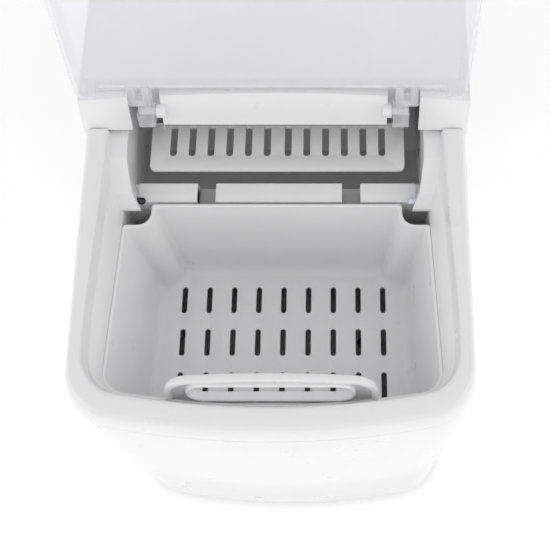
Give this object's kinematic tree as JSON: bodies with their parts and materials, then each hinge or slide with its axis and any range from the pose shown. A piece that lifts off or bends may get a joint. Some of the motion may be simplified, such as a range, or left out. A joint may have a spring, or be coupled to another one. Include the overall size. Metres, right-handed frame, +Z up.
{
  "type": "countertop ice maker",
  "caption": "Countertop bullet-ice maker with a lift-out ice basket, a slotted ice shovel on a tilting water tray and a clear hinged lid, shown open.",
  "frame": {"origin": "on the floor under the middle of the housing", "axes": "+X to the user's right, +Y to the rear, +Z up"},
  "size_m": [0.242, 0.358, 0.5055],
  "materials": {
    "white_plastic": "satin moulded plastic",
    "liner_plastic": "matt moulded plastic",
    "clear_plastic": "clear polished plastic",
    "panel_plastic": "fine matt",
    "button_plastic": "satin",
    "light_lens": "translucent",
    "dark_lens": "polished",
    "pale_lens": "polished",
    "pin_plastic": "satin",
    "grey_plastic": "matt",
    "dark_plastic": "matt",
    "drain_plastic": "matt",
    "hose_rubber": "soft",
    "black_rubber": "matt",
    "foam": "foam",
    "steel": "brushed",
    "fin_aluminium": "mill",
    "copper": "drawn tube",
    "valve_brass": "machined",
    "black_enamel": "enamel",
    "board": "circuit board"
  },
  "bodies": {
    "machine": {"base_pan": "grey_plastic", "rubber_feet": "black_rubber", "front_panel": "white_plastic", "left_side_panel": "white_plastic", "right_side_panel": "white_plastic", "rear_panel": "grey_plastic", "top_bezel": "white_plastic", "inner_liner": "liner_plastic", "ice_chute": "liner_plastic", "water_tank": "liner_plastic", "tank_insulation": "foam", "rear_top_cover": "white_plastic", "control_panel": "panel_plastic", "indicator_lights": "light_lens", "display_board": "board", "left_sensor_cover": "white_plastic", "right_sensor_cover": "white_plastic", "ice_full_receiver": "dark_lens", "ice_full_emitter": "pale_lens", "hinge_pins": "pin_plastic", "gear_motor": "steel", "tray_limit_switch": "dark_plastic", "evaporator_tube": "copper", "evaporator_fingers": "steel", "suction_tube": "copper", "discharge_tube": "copper", "hot_gas_valve": "valve_brass", "filter_drier": "copper", "capillary_tube": "copper", "compressor": "black_enamel", "compressor_cover": "dark_plastic", "compressor_mounts": "black_rubber", "condenser_fins": "fin_aluminium", "condenser_coil": "copper", "fan_shroud": "dark_plastic", "fan_motor": "steel", "water_pump": "dark_plastic", "pump_hose": "hose_rubber", "float_stem": "drain_plastic", "drain_hose": "hose_rubber", "drain_port": "drain_plastic", "drain_seal": "black_rubber", "main_circuit_board": "board", "board_standoffs": "drain_plastic", "cord_gland": "dark_plastic", "rear_panel_screws": "steel", "base_screws": "steel"},
    "lid_body": {"lid": "clear_plastic"},
    "basket_body": {"ice_basket": "white_plastic"},
    "tray_body": {"water_tray": "liner_plastic", "ice_shovel": "white_plastic", "tray_shaft": "drain_plastic"},
    "fan_body": {"fan_blade": "dark_plastic"},
    "impeller_body": {"pump_impeller": "drain_plastic"},
    "float_body": {"water_float": "drain_plastic"},
    "power_button_body": {"power_button": "button_plastic"},
    "select_button_body": {"select_button": "button_plastic"},
    "drain_plug_body": {"drain_plug": "drain_plastic"}
  },
  "joints": [
    {"name": "lid_hinge", "type": "hinge", "parent": "machine", "child": "lid_body", "pos_m": [0, 0.02, 0.317], "axis": [-1, 0, 0], "range_deg": [-107, 0]},
    {"name": "basket_lift", "type": "slide", "parent": "machine", "child": "basket_body", "axis": [0, 0, 1], "range_m": [0, 0.16]},
    {"name": "tray_tilt", "type": "hinge", "parent": "machine", "child": "tray_body", "pos_m": [0, 0.057, 0.28], "axis": [1, 0, 0], "range_deg": [0, 85]},
    {"name": "fan_spin", "type": "hinge", "parent": "machine", "child": "fan_body", "pos_m": [0.06, 0.137, 0.102], "axis": [0, 1, 0], "continuous": true},
    {"name": "impeller_spin", "type": "hinge", "parent": "machine", "child": "impeller_body", "pos_m": [0.06, -0.06, 0.068], "axis": [0, 0, 1], "continuous": true},
    {"name": "float_rise", "type": "slide", "parent": "machine", "child": "float_body", "axis": [0, 0, 1], "range_m": [0, 0.04]},
    {"name": "power_press", "type": "slide", "parent": "machine", "child": "power_button_body", "axis": [0, 0, -1], "range_m": [0, 0.001], "stiffness_N_per_m": 400},
    {"name": "select_press", "type": "slide", "parent": "machine", "child": "select_button_body", "axis": [0, 0, -1], "range_m": [0, 0.001], "stiffness_N_per_m": 400},
    {"name": "drain_plug_pull", "type": "slide", "parent": "machine", "child": "drain_plug_body", "axis": [0, 1, 0], "range_m": [0, 0.03]}
  ]
}
